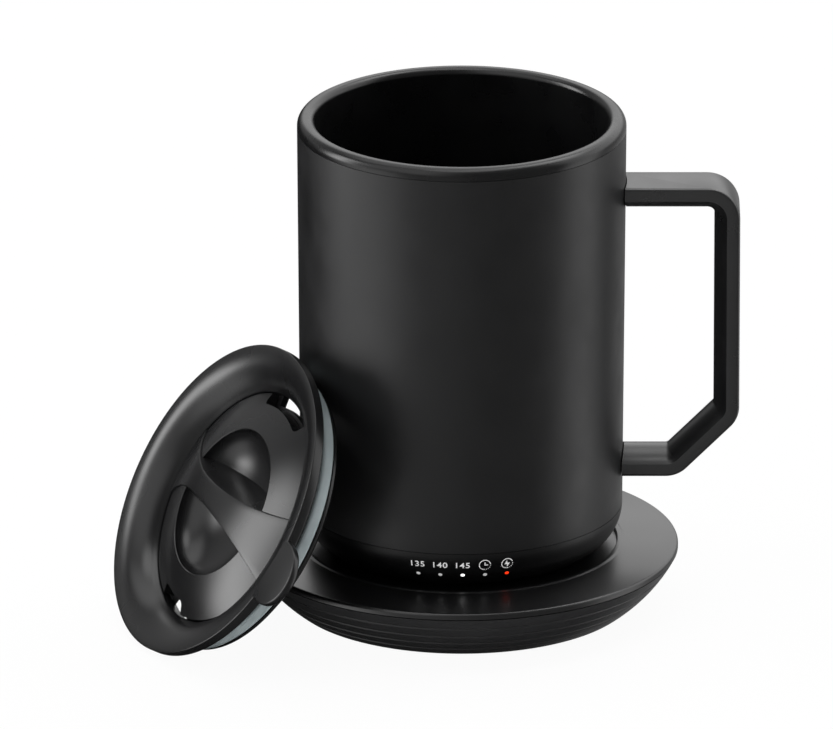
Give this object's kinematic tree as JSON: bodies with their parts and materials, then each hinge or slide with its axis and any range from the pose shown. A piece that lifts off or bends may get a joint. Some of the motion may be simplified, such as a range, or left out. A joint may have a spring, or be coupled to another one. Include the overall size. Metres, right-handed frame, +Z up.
{
  "type": "self-heating mug with charging coaster and lid",
  "caption": "Cylindrical heated mug with a D-section side handle, standing on a round charging coaster, with a twist-open spill lid taken off and leaned on the mug.",
  "frame": {"origin": "centre of the underside of the coaster's foot pad, on the surface that it stands on", "axes": "+Z up along the mug's axis, +X towards the handle, -Y towards the front with the indicator row"},
  "size_m": [0.1715, 0.1427, 0.1395],
  "materials": {
    "coaster_plastic": "satin moulded",
    "coaster_top": "smooth satin",
    "rubber": "matt",
    "steel": "plain",
    "inner_plastic": "moulded",
    "brass": "turned",
    "gold_plate": "gold plated",
    "circuit_board": "solder mask",
    "powder_coat": "fine matt powder coat",
    "liner_coat": "smooth ceramic coat",
    "handle_plastic": "fine matt",
    "cap_plastic": "satin moulded",
    "silicone": "soft matt",
    "gasket": "translucent silicone",
    "lid_plastic": "smooth satin",
    "white_lens": "clear",
    "red_lens": "clear",
    "cell_sleeve": "shrink sleeve",
    "heater_film": "polyimide film",
    "aluminium": "plain",
    "insulation": "felted fibre"
  },
  "bodies": {
    "coaster": {"coaster_bottom_shell": "coaster_plastic", "coaster_top_cover": "coaster_top", "coaster_foot_pad": "rubber", "coaster_screw_1": "steel", "coaster_screw_2": "steel", "coaster_screw_3": "steel", "contact_block": "inner_plastic", "pin_barrel_center": "brass", "pin_barrel_side": "brass", "pin_spring_center": "steel", "pin_spring_side": "steel", "coaster_circuit_board": "circuit_board", "power_inlet": "inner_plastic"},
    "center_pin": {"contact_pin_center": "gold_plate"},
    "side_pin": {"contact_pin_side": "gold_plate"},
    "mug": {"mug_outer_shell": "powder_coat", "mug_liner": "liner_coat", "mug_handle": "handle_plastic", "mug_base_cap": "cap_plastic", "indicator_lens_low": "white_lens", "indicator_lens_mid": "white_lens", "indicator_lens_high": "white_lens", "indicator_lens_timer": "white_lens", "indicator_lens_charge": "red_lens", "indicator_board": "circuit_board", "mug_bottom_cover": "cap_plastic", "anti_slip_ring": "rubber", "contact_disc": "gold_plate", "contact_ring": "gold_plate", "button_switch": "inner_plastic", "main_circuit_board": "circuit_board", "bottom_screw_1": "steel", "bottom_screw_2": "steel", "bottom_screw_3": "steel", "base_seal": "silicone", "battery_cell_1": "cell_sleeve", "battery_cell_2": "cell_sleeve", "battery_tray": "inner_plastic", "heater_film": "heater_film", "heat_spreader": "aluminium", "insulation_disc": "insulation", "temperature_sensor": "steel"},
    "button": {"power_button": "rubber"},
    "lid": {"lid_body": "lid_plastic", "lid_gasket": "gasket", "rotor_seal": "silicone"},
    "rotor": {"lid_rotor": "lid_plastic", "rotor_retainer": "inner_plastic"}
  },
  "joints": [
    {"name": "mug_lift", "type": "slide", "parent": "coaster", "child": "mug", "axis": [0, 0, 1], "range_m": [0, 0.12]},
    {"name": "lid_lift", "type": "slide", "parent": "coaster", "child": "lid", "axis": [-0.7823, -0.3715, 0.5], "range_m": [0, 0.08]},
    {"name": "lid_rotor_turn", "type": "hinge", "parent": "lid", "child": "rotor", "pos_m": [-0.06764, -0.03212, 0.0403], "axis": [-0.7823, -0.3715, 0.5], "range_deg": [0, 90]},
    {"name": "power_button_press", "type": "slide", "parent": "mug", "child": "button", "axis": [0, 0, 1], "range_m": [0, 0.0005], "stiffness_N_per_m": 600, "springref_m": -0.0005},
    {"name": "center_pin_press", "type": "slide", "parent": "coaster", "child": "center_pin", "axis": [0, 0, 1], "range_m": [-0.0008, 0], "stiffness_N_per_m": 400, "springref_m": 0.0008, "deforming": ["pin_spring_center"]},
    {"name": "side_pin_press", "type": "slide", "parent": "coaster", "child": "side_pin", "axis": [0, 0, 1], "range_m": [-0.0008, 0], "stiffness_N_per_m": 400, "springref_m": 0.0008, "deforming": ["pin_spring_side"]}
  ]
}
